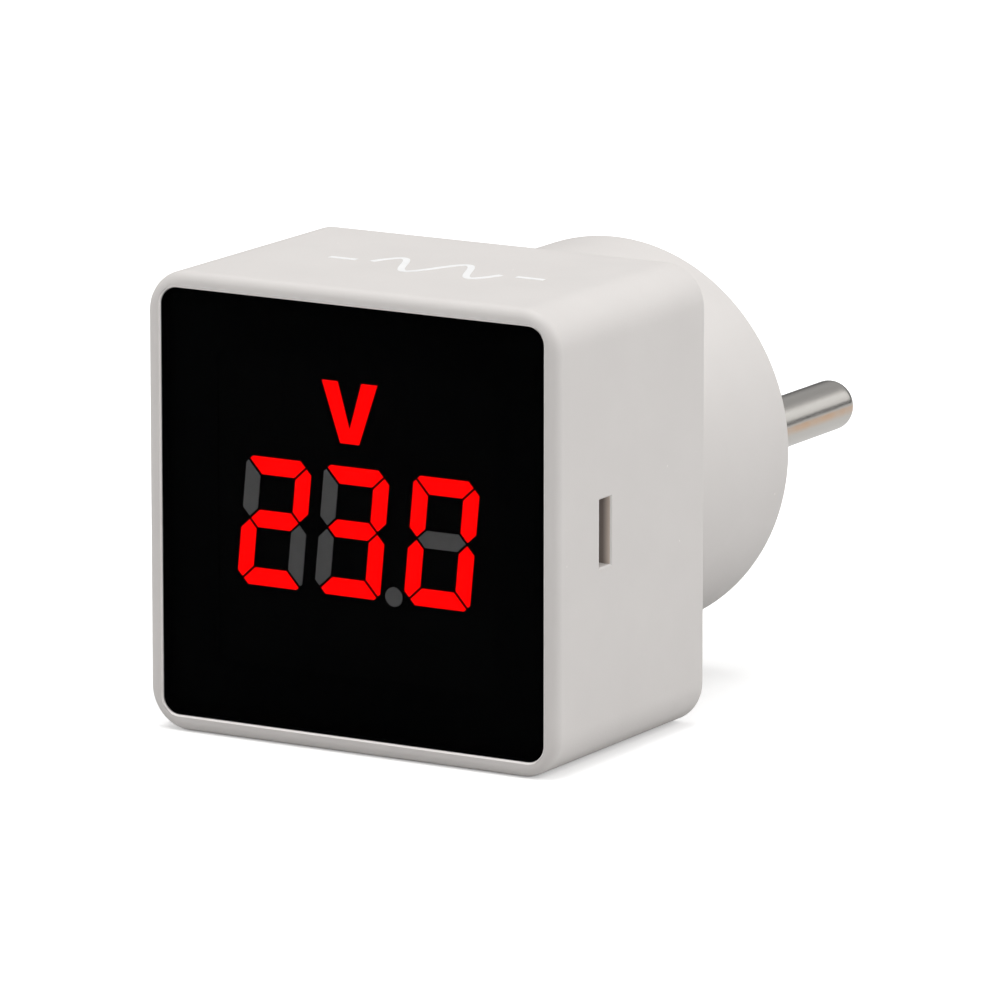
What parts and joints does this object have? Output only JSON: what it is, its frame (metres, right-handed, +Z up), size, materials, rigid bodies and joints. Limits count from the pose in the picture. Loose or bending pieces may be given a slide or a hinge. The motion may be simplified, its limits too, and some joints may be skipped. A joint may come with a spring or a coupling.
{
  "type": "outlet tester plug",
  "caption": "Plug-in mains voltage tester: square box with a red numeric display behind a dark window, on a round collar with round pins.",
  "frame": {"origin": "centre of the plug's flat face, midway between the two pins", "axes": "+Y out of the plug face along the pins; +X to the right of someone reading the display; +Z up"},
  "size_m": [0.036, 0.059, 0.0356],
  "materials": {
    "case_plastic": "light warm grey moulded plastic, fine matte texture",
    "window_tint": "smoked acrylic pane, polished",
    "tape_black": "black foam tape",
    "display_black": "black moulded housing, satin",
    "segment_lit": "red light diffuser, lit",
    "segment_dark": "light diffuser, unlit",
    "board_green": "green solder mask on glass-fibre board",
    "chip_black": "black moulding compound",
    "contact_brass": "plain brass contact",
    "screw_steel": "zinc-plated steel",
    "film_yellow": "yellow film-capacitor box",
    "sleeve_black": "heat-shrunk sleeve",
    "disc_blue": "blue epoxy coat",
    "resistor_green": "grey-green cement coat",
    "pin_nickel": "nickel plate on brass",
    "lead_blue": "blue insulated wire",
    "lead_brown": "brown insulated wire"
  },
  "bodies": {
    "housing": {"front_case": "case_plastic", "plug_base": "case_plastic", "display_window": "window_tint", "window_tape": "tape_black", "display_housing": "display_black", "segment_1a": "segment_lit", "segment_1b": "segment_lit", "segment_1c": "segment_dark", "segment_1d": "segment_lit", "segment_1e": "segment_lit", "segment_1f": "segment_dark", "segment_1g": "segment_lit", "segment_2a": "segment_lit", "segment_2b": "segment_lit", "segment_2c": "segment_lit", "segment_2d": "segment_lit", "segment_2e": "segment_dark", "segment_2f": "segment_dark", "segment_2g": "segment_lit", "segment_3a": "segment_lit", "segment_3b": "segment_lit", "segment_3c": "segment_lit", "segment_3d": "segment_lit", "segment_3e": "segment_lit", "segment_3f": "segment_lit", "segment_3g": "segment_dark", "decimal_point": "segment_dark", "volt_sign": "segment_lit", "display_board": "board_green", "power_board": "board_green", "microcontroller": "chip_black", "bridge_rectifier": "chip_black", "regulator": "chip_black", "divider_resistor_1": "chip_black", "divider_resistor_2": "chip_black", "header_strip": "chip_black", "header_pin_1": "contact_brass", "header_pin_2": "contact_brass", "header_pin_3": "contact_brass", "header_pin_4": "contact_brass", "display_screw_1": "screw_steel", "display_screw_2": "screw_steel", "display_screw_3": "screw_steel", "display_screw_4": "screw_steel", "power_screw_1": "screw_steel", "power_screw_2": "screw_steel", "film_capacitor": "film_yellow", "electrolytic_capacitor": "sleeve_black", "varistor": "disc_blue", "fuse_resistor": "resistor_green", "pin_left": "pin_nickel", "pin_right": "pin_nickel", "pin_tag_left": "contact_brass", "pin_tag_right": "contact_brass", "lead_left": "lead_blue", "lead_right": "lead_brown"},
    "latch_left": {"latch_left": "case_plastic"},
    "latch_right": {"latch_right": "case_plastic"}
  },
  "joints": [
    {"name": "latch_left_flex", "type": "hinge", "parent": "housing", "child": "latch_left", "pos_m": [-0.015, -0.0196, 0], "axis": [0, 0, 1], "range_deg": [0, 4], "stiffness_Nm_per_rad": 0.12},
    {"name": "latch_right_flex", "type": "hinge", "parent": "housing", "child": "latch_right", "pos_m": [0.015, -0.0196, 0], "axis": [0, 0, -1], "range_deg": [0, 4], "stiffness_Nm_per_rad": 0.12}
  ]
}
